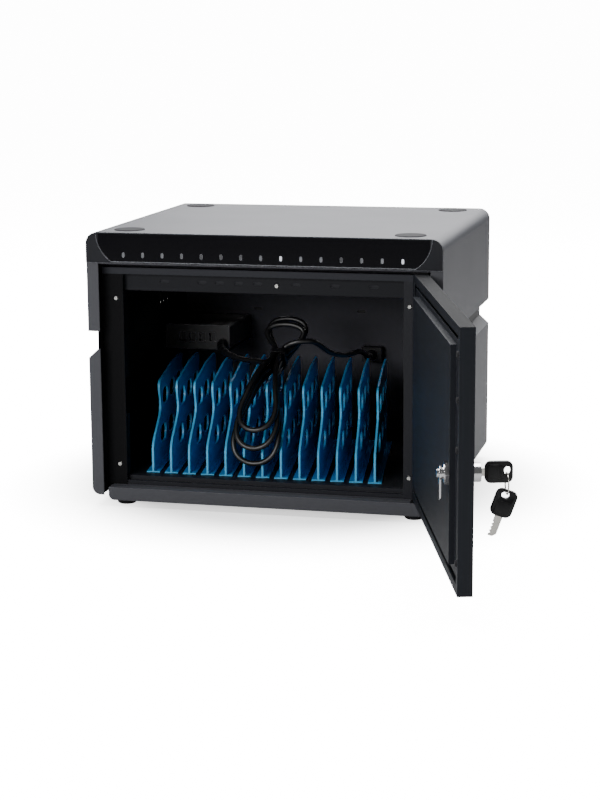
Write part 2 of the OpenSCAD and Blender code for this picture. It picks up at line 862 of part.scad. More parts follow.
module door_skin() {
    bore_d = pivot_d + 2 * pivot_fit;
    block_h = pivot_len + 3;
    color(door_c) on_door() difference() {
        union() {
            difference() {
                span([door_x0, front_y, door_z0], [door_x1, door_inner_y, door_z1]);
                span([door_x0 + door_skin_t, front_y + door_skin_t, door_z0 + door_skin_t],
                     [door_x1 - door_skin_t, door_inner_y - door_skin_t, door_z1 - door_skin_t]);
                span([door_x0 + door_lip_w, front_y + door_t / 2, door_z0 + door_lip_w],
                     [door_x1 - door_lip_w, door_inner_y + 1, door_z1 - door_lip_w]);
            }
            pivot_block(door_z0, door_z0 + block_h);
            pivot_block(door_z1 - block_h, door_z1);
        }
        for (z = [door_z0 - 1, door_z1 - pivot_len - 0.5])
            translate([pivot_x, pivot_y, z]) cylinder(d = bore_d, h = pivot_len + 1.5);
        rod_y(lock_x, lock_z, front_y - 1, front_y + 4, barrel_d + 0.4);
    }
}

module door_liner() {
    clear = 0.3;
    rise_y = door_inner_y + panel_rise;
    color(door_c) on_door() difference() {
        union() {
            span([door_x0 + door_skin_t + clear, liner_y, door_z0 + 16],
                 [door_x1 - 15, liner_y + sheet_t, door_z1 - 16]);
            span([liner_x0, liner_y, liner_z0], [liner_x1, rise_y, liner_z1]);
        }
        span([liner_x0 + sheet_t, liner_y - 1, liner_z0 + sheet_t],
             [liner_x1 - sheet_t, rise_y - sheet_t, liner_z1 - sheet_t]);
        rod_y(lock_x, lock_z, liner_y - 1, rise_y + 1, barrel_d + 0.4);
    }
}

module door_bumpers() {
    color(rubber_c) on_door() for (z = [34, 150, 200, 246])
        translate([door_x0 + door_lip_w / 2, door_inner_y, door_z0 + z]) rotate([-90, 0, 0])
            cylinder(d1 = 8, d2 = 6, h = 2);
}

// ---- Lock and keys, drawn on the shut door ----

module lock_body() {
    color(steel_c) on_door() difference() {
        union() {
            rod_y(lock_x, lock_z, front_y - 2, front_y, 24);
            rod_y(lock_x, lock_z, front_y - rim_t, front_y, 20);
            rod_y(lock_x, lock_z, front_y, barrel_end, barrel_d);
        }
        rod_y(lock_x, lock_z, front_y - rim_t - 1, barrel_end + 1, plug_d + 2 * plug_fit);
    }
}

module lock_nut() {
    color(steel_c) on_door() difference() {
        translate([lock_x, nut_y, lock_z]) rotate([-90, 0, 0]) cylinder(d = 25, h = nut_t, $fn = 6);
        rod_y(lock_x, lock_z, nut_y - 1, nut_y + nut_t + 1, barrel_d + 0.2);
    }
}

module lock_plug() {
    face_y = front_y - rim_t - 0.8;
    color(steel_c) on_door() difference() {
        union() {
            rod_y(lock_x, lock_z, face_y, plug_end, plug_d);
            rod_y(lock_x, lock_z, plug_end, plug_end + cam_t, 6);
        }
        translate([lock_x, face_y - 1 + (blade_l + 2) / 2, lock_z])
            cube([blade_t + 2 * blade_gap, blade_l + 2, blade_w + 2 * blade_gap], center = true);
        rod_y(lock_x, lock_z, plug_end - 5, plug_end + cam_t + 1, 3.2);
    }
}

module lock_cam() {
    color(steel_c) on_door() translate([lock_x, plug_end, lock_z]) rotate([-90, 0, 0])
        difference() {
            union() {
                cylinder(d = 15, h = cam_t);
                translate([-cam_w / 2, 0, 0]) cube([cam_w, cam_l - cam_w / 2, cam_t]);
                translate([0, cam_l - cam_w / 2, 0]) cylinder(d = cam_w, h = cam_t);
            }
            translate([0, 0, -1]) cylinder(d = 6.1, h = cam_t + 2);
        }
}

module cam_screw() {
    color(steel_c) on_door() {
        rod_y(lock_x, lock_z, plug_end + cam_t, plug_end + cam_t + 2.4, 9);
        rod_y(lock_x, lock_z, plug_end - 4, plug_end + cam_t, 3);
    }
}

// A key with its blade along +Y from the origin, its neck and head towards -Y
module blade() {
    difference() {
        span([-blade_t / 2, -neck_l - 9, -blade_w / 2], [blade_t / 2, blade_l - 3, blade_w / 2]);
        for (i = [0:3]) translate([0, 5 + i * 3.6, blade_w / 2]) rotate([45, 0, 0])
            cube([blade_t + 1, 2.2, 2.2], center = true);
        translate([0, blade_l - 3, -blade_w / 2]) rotate([45, 0, 0]) cube([blade_t + 1, 5, 5], center = true);
    }
}

module head() {
    r = 7;
    y1 = -neck_l;
    y0 = y1 - key_l;
    difference() {
        across(-head_t / 2, head_t / 2) {
            translate([y0 + r, -key_h / 2]) square([key_l - r - 4, key_h]);
            translate([y0, -key_h / 2 + r]) square([key_l, key_h - 2 * r]);
            for (s = [-1, 1]) {
                translate([y0 + r, s * (key_h / 2 - r)]) circle(r);
                translate([y1 - 5, s * (key_h / 2 - 5)]) circle(5);
            }
        }
        span([-blade_t / 2, -neck_l - 9, -blade_w / 2], [blade_t / 2, 1, blade_w / 2]);
        translate([0, y0 + 6, 0]) rotate([0, 90, 0]) cylinder(d = hole_d, h = head_t + 2, center = true);
    }
}

// Where the key sits in the plug
key_y = front_y - rim_t - 0.8 - 0.4;
ring_hole_y = key_y - neck_l - key_l + 6;
ring_sag = ring_d / 2 - sqrt(pow(ring_d / 2, 2) - pow(head_t / 2, 2));
ring_lift = wire_d / 2 + ring_sag + 0.3;
ring_top_z = lock_z - hole_d / 2 + ring_lift;
ring_z = ring_top_z - ring_d / 2;
spare_z = ring_z - ring_d / 2 - hole_d / 2 + ring_lift;

module key_blade() {
    color(steel_c) on_door() translate([lock_x, key_y, lock_z]) blade();
}

module key_head() {
    color(rubber_c) on_door() translate([lock_x, key_y, lock_z]) head();
}

module key_ring() {
    color(steel_c) on_door() translate([lock_x, ring_hole_y, ring_z]) rotate([90, 0, 0])
        rotate_extrude() translate([ring_d / 2, 0]) circle(d = wire_d, $fn = 16);
}

// Hangs the spare key from the ring by its hole, head up
module hang_spare() {
    on_door() translate([lock_x, ring_hole_y, spare_z]) rotate([spare_tilt, 0, 0])
        rotate([-90, 0, 0]) translate([0, neck_l + key_l - 6, 0]) children();
}

module spare_blade() {
    color(steel_c) hang_spare() blade();
}

module spare_head() {
    color(rubber_c) hang_spare() head();
}

top_shell();
skirt_left();
skirt_right();
base_pan();
feet();
foot_screws();
stacking_pads();
fascia();
indicator_windows();
led_board();
ceiling();
wall_left();
wall_right();
back_panel();
power_inlet();
floor_tray();
top_rail();
stile_left();
stile_right();
frame_screws();
upper_pivot();
lower_pivot();
power_unit();
unit_bracket();
cable_gland();
cord_lead();
cord_hank();
cord_tail();
cord_tie();
door_skin();
door_liner();
door_bumpers();
lock_body();
lock_nut();
lock_plug();
lock_cam();
cam_screw();
key_blade();
key_head();
key_ring();
spare_blade();
spare_head();
for (i = [0:divider_n - 1]) divider(i);
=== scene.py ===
"""Looks of a lockable desktop charging cabinet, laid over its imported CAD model.

The CAD model gives every place and every size. This script gives the finishes, the
formed lead, the moulded keys, the studio and the camera. Lengths are in millimetres
until a mesh is made, and in metres from there on.
"""

from __future__ import annotations

import json
import logging
import math
from collections.abc import Callable, Iterable, Sequence
from dataclasses import dataclass, field
from enum import Enum

import bmesh
import bpy
from mathutils import Matrix, Vector

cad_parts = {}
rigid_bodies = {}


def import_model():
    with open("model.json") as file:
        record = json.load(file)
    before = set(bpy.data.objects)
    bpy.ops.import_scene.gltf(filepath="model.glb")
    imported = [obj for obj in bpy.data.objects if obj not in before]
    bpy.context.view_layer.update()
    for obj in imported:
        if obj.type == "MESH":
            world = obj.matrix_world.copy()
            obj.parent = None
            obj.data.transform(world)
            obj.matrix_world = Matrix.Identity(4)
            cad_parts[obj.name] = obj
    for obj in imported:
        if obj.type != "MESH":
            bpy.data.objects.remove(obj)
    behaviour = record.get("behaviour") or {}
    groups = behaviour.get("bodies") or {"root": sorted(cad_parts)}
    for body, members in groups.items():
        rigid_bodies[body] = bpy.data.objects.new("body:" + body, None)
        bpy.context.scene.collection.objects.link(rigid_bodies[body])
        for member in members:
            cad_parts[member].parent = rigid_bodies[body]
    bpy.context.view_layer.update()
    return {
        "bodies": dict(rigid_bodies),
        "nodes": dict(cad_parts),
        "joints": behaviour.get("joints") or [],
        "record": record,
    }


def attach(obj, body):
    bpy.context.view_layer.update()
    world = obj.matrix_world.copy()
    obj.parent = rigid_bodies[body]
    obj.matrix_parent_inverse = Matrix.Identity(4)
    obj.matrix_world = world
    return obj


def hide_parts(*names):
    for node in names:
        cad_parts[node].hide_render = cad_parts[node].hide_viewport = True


LOG = logging.getLogger("cabinet")
MM = 0.001

Point = Sequence[float]
Colour = tuple[float, float, float, float]
Tree = bpy.types.NodeTree
Socket = bpy.types.NodeSocket
Outputs = bpy.types.bpy_prop_collection

# Socket types
NUMBER, SHADE, DIRECTION = "NodeSocketFloat", "NodeSocketColor", "NodeSocketVector"

WHITE: Colour = (1, 1, 1, 1)
BUMP_STRENGTH = 0.6
# Front-to-back part of a normal where the painted highlight on what faces the front starts, and
# where it is full
FACING_FRONT = (-0.2, -0.45)
# Numbers of the lit lamps, counted from the middle one
LIT_LAMPS = (1, 7)
# A limit that nothing reaches, in millimetres
NOWHERE = 999


def srgb(red: int, green: int, blue: int) -> Colour:
    """Turns an sRGB colour, of 0 to 255 each, into the linear one that shaders use."""
    def linear(value: int) -> float:
        """Linear value of one channel, by the curve of that standard."""
        share = value / 255
        return share / 12.92 if share <= 0.04045 else ((share + 0.055) / 1.055) ** 2.4

    return linear(red), linear(green), linear(blue), 1.0


class Body(Enum):
    """CAD bodies that a piece can ride on."""

    CABINET = "cabinet"
    DOOR = "door"
    PLUG = "lock_plug"
    KEY = "key"
    RING = "key_ring"
    SPARE = "spare_key"


# ---- Sizes that the CAD model works from ----


@dataclass(frozen=True)
class Sizes:
    """The cabinet's driving sizes and what follows from them, in millimetres.

    Attributes:
        width: Shell's width.
        depth: Shell's depth.
        shell_bottom: Height of the shell's lower edge.
        shell_height: Shell's height.
        strip: Width of the front beside the opening.
        sill_top: Height of the sill.
        floor: Height of the tray.
        door_thick: Door's thickness.
        door_open: Door's angle at rest, in degrees.
        pivot_clear: From the right strip to the pivot axis.
        door_gap: Gap at the shut door's free edge.
        door_lift: Gap under the door.
        lock_rise: Lock's axis above the door's lower edge.
        lock_edge: Lock's axis from the door's free edge.
        rim: How far the lock stands out.
        divider_front: From the shell's front to the dividers.
        divider_height: Height of a divider's front.
        divider_rise: Rise of its top to the back.
    """

    width: float = 440
    depth: float = 370
    shell_bottom: float = 14
    shell_height: float = 328
    strip: float = 15
    sill_top: float = 24
    floor: float = 34
    door_thick: float = 16
    door_open: float = 107
    pivot_clear: float = 13
    door_gap: float = 2
    door_lift: float = 2.6
    lock_rise: float = 119
    lock_edge: float = 40
    rim: float = 12
    divider_front: float = 48
    divider_height: float = 108
    divider_rise: float = 8

    @property
    def front(self) -> float:
        """Depth of the shell's front."""
        return -self.depth / 2

    @property
    def top(self) -> float:
        """Height of the shell's top."""
        return self.shell_bottom + self.shell_height

    @property
    def strip_x(self) -> float:
        """Inner edge of the right front strip."""
        return self.width / 2 - self.strip

    @property
    def pivot(self) -> Vector:
        """Foot of the door's pivot axis."""
        return Vector((self.strip_x - self.pivot_clear, self.front + self.door_thick / 2, 0))

    @property
    def lock(self) -> Vector:
        """Lock's axis at the shut door's outer face."""
        return Vector((
            -self.strip_x + self.door_gap + self.lock_edge,
            self.front,
            self.sill_top + self.door_lift + self.lock_rise,
        ))

    def on_door(self) -> Matrix:
        """Carries what is placed on the shut door to the open one, in millimetres."""
        to_pivot = Matrix.Translation(self.pivot)
        turn = Matrix.Rotation(math.radians(self.door_open), 4, "Z")
        return to_pivot @ turn @ to_pivot.inverted()


SIZES = Sizes()


# ---- Shader nodes ----


def feed(tree: Tree, socket: Socket, value: Socket | float | Sequence[float]) -> None:
    """Links a socket to another one, or sets it to a plain value."""
    if isinstance(value, bpy.types.NodeSocket):
        tree.links.new(value, socket)
    else:
        socket.default_value = value


def maths(tree: Tree, operation: str, *values: Socket | float) -> Socket:
    """Adds a maths node with these inputs, in order, and returns its result."""
    node = tree.nodes.new("ShaderNodeMath")
    node.operation = operation
    for socket, value in zip(node.inputs, values):
        feed(tree, socket, value)
    return node.outputs[0]


def scaled(tree: Tree, colour: Socket, share: Socket) -> Socket:
    """Multiplies a colour by a number and returns the result."""
    node = tree.nodes.new("ShaderNodeVectorMath")
    node.operation = "SCALE"
    tree.links.new(colour, node.inputs[0])
    tree.links.new(share, node.inputs["Scale"])
    return node.outputs[0]


def ranged(
    tree: Tree, value: Socket, start: float, end: float, low: float = 0, high: float = 1,
    kind: str = "LINEAR",
) -> Socket:
    """Maps one range of numbers to another.

    Args:
        tree: The nodes to work in.
        value: Socket of the number.
        start: Number that becomes the low one.
        end: Number that becomes the high one.
        low: Result at the start.
        high: Result at the end.
        kind: How the result gets from the one to the other.

    Returns:
        Socket of the result.
    """
    node = tree.nodes.new("ShaderNodeMapRange")
    node.interpolation_type = kind
    for name, number in zip(("From Min", "From Max", "To Min", "To Max"), (start, end, low, high)):
        node.inputs[name].default_value = number
    tree.links.new(value, node.inputs["Value"])
    return node.outputs["Result"]


def mixed(
    tree: Tree, share: Socket, first: Socket | float | Colour, second: float | Colour,
    colours: bool = True,
) -> Socket:
    """Mixes two colours or two numbers.

    Args:
        tree: The nodes to work in.
        share: Socket of the second one's share.
        first: Socket or value of the first one.
        second: Value of the second one.
        colours: Whether they are colours.

    Returns:
        Socket of the result.
    """
    node = tree.nodes.new("ShaderNodeMix")
    node.data_type = "RGBA" if colours else "FLOAT"
    tree.links.new(share, node.inputs["Factor"])
    feed(tree, node.inputs["A"], first)
    feed(tree, node.inputs["B"], second)
    return node.outputs["Result"]


def axes(tree: Tree, kind: str) -> Outputs:
    """Splits a texture coordinate into the sockets "X", "Y" and "Z"."""
    split = tree.nodes.new("ShaderNodeSeparateXYZ")
    tree.links.new(tree.nodes.new("ShaderNodeTexCoord").outputs[kind], split.inputs[0])
    return split.outputs


class Groups:
    """Node groups that several finishes share, each built once.

    Attributes:
        EDGE_COSINES: Cosines of a normal's turn where an edge starts to show and is full.
        EDGE_SAMPLES: Rays that look for edges.
        DIM_LEVELS: Levels between which the lamps that aren't lit lie.
        SAME_LAMP: How far a lamp's number may stray from a whole one.
    """

    EDGE_COSINES = (0.99, 0.75)
    EDGE_SAMPLES = 4
    DIM_LEVELS = (0.04, 0.18)
    SAME_LAMP = 0.25

    _made: dict[str, Tree] = {}

    @classmethod
    def add(cls, tree: Tree, name: str, values: dict[str, float | Sequence[float]]) -> Outputs:
        """Adds a node with a shared group, and builds the group the first time.

        Args:
            tree: The material's nodes.
            name: One of "surface_grain", "soft_edges", "region_mask" and "lamp_mask".
            values: What its inputs get, by name.

        Returns:
            The node's outputs.
        """
        if name not in cls._made:
            cls._made[name] = getattr(cls, f"_{name}")()
        node = tree.nodes.new("ShaderNodeGroup")
        node.node_tree = cls._made[name]
        for socket, value in values.items():
            node.inputs[socket].default_value = value
        return node.outputs

    @staticmethod
    def _tree(name: str, inputs: dict[str, str], outputs: dict[str, str]) -> Tree:
        """Makes a group with typed sockets and the nodes "In" and "Out"."""
        tree = bpy.data.node_groups.new(name, "ShaderNodeTree")
        for sockets, way in ((inputs, "INPUT"), (outputs, "OUTPUT")):
            for socket, kind in sockets.items():
                tree.interface.new_socket(socket, in_out=way, socket_type=kind)
        tree.nodes.new("NodeGroupInput").name = "In"
        tree.nodes.new("NodeGroupOutput").name = "Out"
        return tree

    @classmethod
    def _surface_grain(cls) -> Tree:
        """Fine grain as a height, and slow changes of tone and gloss."""
        tree = cls._tree(
            "surface_grain",
            {"Colour": SHADE, "Fine Scale": NUMBER, "Broad Scale": NUMBER, "Tone": NUMBER,
             "Gloss": NUMBER, "Gloss Spread": NUMBER, "Stretch": DIRECTION},
            {"Colour": SHADE, "Roughness": NUMBER, "Height": NUMBER},
        )
        nodes, link = tree.nodes, tree.links.new
        given, out = nodes["In"].outputs, nodes["Out"].inputs
        stretch = nodes.new("ShaderNodeVectorMath")
        stretch.operation = "MULTIPLY"
        link(nodes.new("ShaderNodeTexCoord").outputs["Object"], stretch.inputs[0])
        link(given["Stretch"], stretch.inputs[1])
        noises = []
        for scale, detail in (("Fine Scale", 2), ("Broad Scale", 4)):
            noise = nodes.new("ShaderNodeTexNoise")
            noise.inputs["Detail"].default_value = detail
            link(stretch.outputs[0], noise.inputs["Vector"])
            link(given[scale], noise.inputs["Scale"])
            noises.append(noise.outputs["Fac"])
        fine, broad = noises
        link(scaled(tree, given["Colour"], cls._spread(tree, broad, given["Tone"])), out["Colour"])
        spread = cls._spread(tree, broad, given["Gloss Spread"])
        link(maths(tree, "MULTIPLY", spread, given["Gloss"]), out["Roughness"])
        link(fine, out["Height"])
        return tree

    @staticmethod
    def _spread(tree: Tree, noise: Socket, share: Socket) -> Socket:
        """Spreads a noise round a half to either side of 1, by a share."""
        return maths(tree, "MULTIPLY_ADD", maths(tree, "SUBTRACT", noise, 0.5), share, 1)

    @classmethod
    def _soft_edges(cls) -> Tree:
        """Rounds sharp edges by their normals and marks where they are."""
        tree = cls._tree("soft_edges", {"Radius": NUMBER}, {"Normal": DIRECTION, "Edge": NUMBER})
        nodes, link = tree.nodes, tree.links.new
        bevel = nodes.new("ShaderNodeBevel")
        bevel.samples = cls.EDGE_SAMPLES
        link(nodes["In"].outputs["Radius"], bevel.inputs["Radius"])
        dot = nodes.new("ShaderNodeVectorMath")
        dot.operation = "DOT_PRODUCT"
        link(bevel.outputs["Normal"], dot.inputs[0])
        link(nodes.new("ShaderNodeNewGeometry").outputs["Normal"], dot.inputs[1])
        link(bevel.outputs["Normal"], nodes["Out"].inputs["Normal"])
        mark = ranged(tree, dot.outputs["Value"], *cls.EDGE_COSINES)
        link(mark, nodes["Out"].inputs["Edge"])
        return tree

    @classmethod
    def _region_mask(cls) -> Tree:
        """Marks what stands ahead of a depth, beyond a half width or above a height."""
        tree = cls._tree(
            "region_mask", {"Depth": NUMBER, "Half Width": NUMBER, "Height": NUMBER},
            {"Mask": NUMBER},
        )
        given, place = tree.nodes["In"].outputs, axes(tree, "Object")
        side = maths(tree, "ABSOLUTE", place["X"])
        ahead = maths(tree, "LESS_THAN", place["Y"], given["Depth"])
        beyond = maths(tree, "GREATER_THAN", side, given["Half Width"])
        above = maths(tree, "GREATER_THAN", place["Z"], given["Height"])
        mask = maths(tree, "MAXIMUM", maths(tree, "MAXIMUM", ahead, beyond), above)
        tree.links.new(mask, tree.nodes["Out"].inputs["Mask"])
        return tree

    @classmethod
    def _lamp_mask(cls) -> Tree:
        """Gives each lamp of an evenly spaced row its own level, and two of them a high one."""
        tree = cls._tree(
            "lamp_mask", {"Pitch": NUMBER, "First Lit": NUMBER, "Second Lit": NUMBER},
            {"Level": NUMBER},
        )
        given, link = tree.nodes["In"].outputs, tree.links.new
        steps = maths(tree, "DIVIDE", axes(tree, "Object")["X"], given["Pitch"])
        index = maths(tree, "ROUND", steps)
        chance = tree.nodes.new("ShaderNodeTexWhiteNoise")
        chance.noise_dimensions = "1D"
        link(index, chance.inputs["W"])
        level = ranged(tree, chance.outputs["Value"], 0, 1, *cls.DIM_LEVELS)
        for lit in ("First Lit", "Second Lit"):
            same = maths(tree, "COMPARE", index, given[lit], cls.SAME_LAMP)
            level = maths(tree, "MAXIMUM", level, same)
        link(level, tree.nodes["Out"].inputs["Level"])
        return tree


# ---- Finishes ----


@dataclass(frozen=True)
class SecondColour:
    """A second colour and gloss on one piece, where it stands out of a panel or above a height; on
    the rail it is painted light.

    Attributes:
        colour: Its colour.
        gloss: Its roughness.
        depth: It starts ahead of this depth, in millimetres.
        half_width: It starts beyond this distance from the middle, in millimetres.
        height: It starts above this height, in millimetres.
    """

    colour: Colour
    gloss: float
    depth: float = -NOWHERE
    half_width: float = NOWHERE
    height: float = NOWHERE


@dataclass(frozen=True)
class Finish:
    """A surface with its grain, tone, gloss and edges.

    Attributes:
        slot: The record's material slot, or the name of a copy of it with painted shade, painted
            light or painted glints.
        colour: Base colour.
        gloss: Middle roughness.
        gloss_spread: How far the roughness strays, as a share.
        fine: Scale of the fine grain, per metre.
        broad: Scale of the slow changes, per metre.
        tone: How far the colour strays, as a share.
        bump: Height of the grain, in millimetres.
        edge: Radius that edges look rounded to, in millimetres.
        edge_highlight: Colour that the edges pass into, a painted highlight.
        edge_highlight_share: How much of that colour shows at an edge.
        metal: Metallic share.
        glow: Strength of emission.
        specular: Level of reflection.
        stretch: Stretch of the grain along X, Y and Z.
        front: How much of the lighter edge colour shows on what faces the front, a painted
            highlight.
        second_colour: A second colour and gloss on part of the piece, which is painted light on
            the rail.
        lamps: Distance between lamps that each glow at a level of their own, in millimetres.
    """

    slot: str
    colour: Colour
    gloss: float = 0.45
    gloss_spread: float = 0.15
    fine: float = 1800
    broad: float = 9
    tone: float = 0.1
    bump: float = 0.02
    edge: float = 0.6
    edge_highlight: Colour = (0.2, 0.2, 0.2, 1.0)
    edge_highlight_share: float = 0.0
    metal: float = 0.0
    glow: float = 0.0
    specular: float = 0.5
    stretch: tuple[float, float, float] = (1.0, 1.0, 1.0)
    front: float = 0.0
    second_colour: SecondColour | None = None
    lamps: float = 0.0

    def material(self) -> bpy.types.Material:
        """Builds the material, named after the slot."""
        made = bpy.data.materials.new(f"{self.slot}_finish")
        made.use_nodes = True
        tree, link = made.node_tree, made.node_tree.links.new
        shader = tree.nodes["Principled BSDF"]
        shader.inputs["Metallic"].default_value = self.metal
        shader.inputs["Specular IOR Level"].default_value = self.specular
        grain = Groups.add(tree, "surface_grain", {
            "Colour": self.colour, "Fine Scale": self.fine, "Broad Scale": self.broad,
            "Tone": self.tone, "Gloss": self.gloss, "Gloss Spread": self.gloss_spread,
            "Stretch": self.stretch,
        })
        edges = Groups.add(tree, "soft_edges", {"Radius": self.edge * MM})
        # Edges, and on some finishes what faces the front, pass into a lighter colour: a painted
        # highlight.
        share = self._facing(tree, maths(tree, "MULTIPLY", edges["Edge"], self.edge_highlight_share))
        colour, rough = self._with_second_colour(tree, grain)
        link(mixed(tree, share, colour, self.edge_highlight), shader.inputs["Base Color"])
        link(rough, shader.inputs["Roughness"])
        bump = tree.nodes.new("ShaderNodeBump")
        bump.inputs["Strength"].default_value = BUMP_STRENGTH
        bump.inputs["Distance"].default_value = self.bump * MM
        link(grain["Height"], bump.inputs["Height"])
        link(edges["Normal"], bump.inputs["Normal"])
        link(bump.outputs["Normal"], shader.inputs["Normal"])
        if self.glow:
            shader.inputs["Emission Color"].default_value = self.colour
            shader.inputs["Emission Strength"].default_value = self.glow
        if self.lamps:
            self._light_lamps(tree, shader, colour)
        return made

    def _facing(self, tree: Tree, share: Socket) -> Socket:
        """Raises the share of the lighter edge colour on what faces the front, a painted
        highlight, if asked for.
        """
        if not self.front:
            return share
        ahead = ranged(tree, axes(tree, "Normal")["Y"], *FACING_FRONT, 0, self.front)
        return maths(tree, "MAXIMUM", ahead, share)

    def _with_second_colour(self, tree: Tree, grain: Outputs) -> tuple[Socket, Socket]:
        """Colour and roughness, with the second colour where there is one."""
        if self.second_colour is None:
            return grain["Colour"], grain["Roughness"]
        mask = Groups.add(tree, "region_mask", {
            "Depth": self.second_colour.depth * MM, "Half Width": self.second_colour.half_width * MM,
            "Height": self.second_colour.height * MM,
        })["Mask"]
        return (
            mixed(tree, mask, grain["Colour"], self.second_colour.colour),
            mixed(tree, mask, grain["Roughness"], self.second_colour.gloss, colours=False),
        )

    def _light_lamps(self, tree: Tree, shader: bpy.types.Node, colour: Socket) -> None:
        """Lets each lamp of a row, of this colour, glow at its own level."""
        first, second = LIT_LAMPS
        level = Groups.add(tree, "lamp_mask", {
            "Pitch": self.lamps * MM, "First Lit": first, "Second Lit": second,
        })["Level"]
        strength = maths(tree, "MULTIPLY", level, self.glow)
        tree.links.new(strength, shader.inputs["Emission Strength"])
        tree.links.new(scaled(tree, colour, level), shader.inputs["Base Color"])


class Finishes:
    """Every finish of the cabinet, by the record's slot, and copies of some with painted shade,
    painted light or painted glints.
    """

    # Each finish's lighter edge colour, with its share, is a painted highlight along the edges.
    ALL: tuple[Finish, ...] = (
        Finish("shell", srgb(61, 62, 67), gloss=0.5, edge_highlight=srgb(118, 120, 126), edge_highlight_share=0.35,
               edge=0.8, specular=0.28),
        Finish("rubber", srgb(30, 30, 33), gloss=0.8, fine=2600, bump=0.03, edge=0.6,
               specular=0.2),
        Finish("zinc", srgb(190, 190, 186), gloss=0.34, metal=1.0, bump=0.01, edge=0.3),
        # Fascia: its edges pass into a pale grey, a painted highlight along the lip.
        Finish("fascia_gloss", srgb(6, 6, 10), gloss=0.14, gloss_spread=0.3, bump=0.001,
               edge=0.9, specular=0.1, edge_highlight=srgb(176, 179, 186), edge_highlight_share=0.9,
               second_colour=SecondColour(srgb(30, 31, 35), 0.5, depth=SIZES.front - 0.95,
                         half_width=SIZES.strip_x - 0.5, height=SIZES.top - 1.5)),
        Finish("window_clear", srgb(196, 200, 208), gloss=0.3, bump=0.002, edge=0.2,
               glow=0.9, lamps=24.6),
        Finish("board", srgb(20, 74, 44), gloss=0.4, edge=0.2),
        Finish("inside", srgb(28, 29, 34), gloss=0.5, edge=0.5, edge_highlight=srgb(80, 82, 88),
               edge_highlight_share=0.35, specular=0.15),
        Finish("black_plastic", srgb(15, 15, 17), gloss=0.42, fine=2400, bump=0.03, edge=0.5,
               edge_highlight=srgb(60, 60, 62), edge_highlight_share=0.3, specular=0.3),
        Finish("cord", srgb(13, 13, 14), gloss=0.36, fine=1500, edge=0.1),
        Finish("door", srgb(20, 23, 29), gloss=0.5, edge=0.7, edge_highlight=srgb(92, 96, 104), edge_highlight_share=0.4,
               specular=0.2, second_colour=SecondColour(srgb(9, 10, 13), 0.85, height=299.9)),
        Finish("chrome", srgb(206, 206, 208), gloss=0.16, gloss_spread=0.3, metal=1.0,
               bump=0.003, edge=0.4),
        # Back panel and ceiling, painted lighter than the inside: painted light.
        Finish("inside_painted_light", srgb(68, 68, 74), gloss=0.5, edge=0.4, specular=0.1, broad=4),
        # Top rail: a little darker than the inside below 289 mm, painted shade, and lighter above,
        # painted light.
        Finish("rail_painted_light_and_shade", srgb(23, 24, 28), gloss=0.5, edge=0.5, edge_highlight=srgb(70, 72, 78),
               edge_highlight_share=0.3, specular=0.1, second_colour=SecondColour(srgb(42, 43, 48), 0.5, height=289)),
        # Charging unit: its edges pass into a pale grey, painted glints.
        Finish("unit_plastic", srgb(16, 16, 18), gloss=0.4, fine=2400, bump=0.03, edge=0.9,
               edge_highlight=srgb(150, 150, 156), edge_highlight_share=0.7),
        # Left stile, left wall and pivots, painted near black: painted shade.
        Finish("shaded_stile", srgb(8, 8, 10), gloss=0.6, edge=0.5, specular=0.08,
               edge_highlight=srgb(80, 82, 88), edge_highlight_share=0.4),
        Finish("key_steel", srgb(198, 196, 190), gloss=0.27, metal=1.0, bump=0.01, edge=0.2,
               stretch=(1.0, 1.0, 6.0)),
        # Dividers: edges and what faces the front pass into a pale blue, a painted highlight.
        Finish("divider_blue", srgb(32, 146, 208), gloss=0.36, fine=1400, bump=0.015,
               edge=0.62, edge_highlight=srgb(96, 204, 246), edge_highlight_share=0.8, tone=0.06, front=0.5),
    )

    # Nodes that take a copy of their slot's finish: painted darker as painted shade, painted
    # lighter as painted light, or with painted glints on the charging unit's edges
    SHADES: dict[str, str] = {
        "back_panel": "inside_painted_light", "ceiling": "inside_painted_light", "stile_left": "shaded_stile",
        "wall_left": "shaded_stile", "top_rail": "rail_painted_light_and_shade", "power_unit": "unit_plastic",
        "upper_pivot": "shaded_stile", "lower_pivot": "shaded_stile",
    }

    def __init__(self) -> None:
        """Builds each material once."""
        self.materials = {finish.slot: finish.material() for finish in self.ALL}

    def __getitem__(self, slot: str) -> bpy.types.Material:
        """Material of a slot."""
        return self.materials[slot]

    def dress(self, frame: dict) -> int:
        """Gives every CAD node its finish, and returns how many there are."""
        slots = {part["node"]: part["material_slot"] for part in frame["record"]["subparts"]}
        for name, node in frame["nodes"].items():
            node.data.materials.clear()
            node.data.materials.append(self[self.SHADES.get(name, slots[name])])
        return len(slots)


# ---- Shapes and pieces ----


def to_mesh(name: str, shape: bmesh.types.BMesh) -> bpy.types.Mesh:
    """Turns a shape into a mesh and frees the shape."""
    mesh = bpy.data.meshes.new(name)
    shape.to_mesh(mesh)
    shape.free()
    return mesh


def add_object(name: str, data: bpy.types.ID) -> bpy.types.Object:
    """Adds an object to the scene."""
    made = bpy.data.objects.new(name, data)
    bpy.context.scene.collection.objects.link(made)
    return made


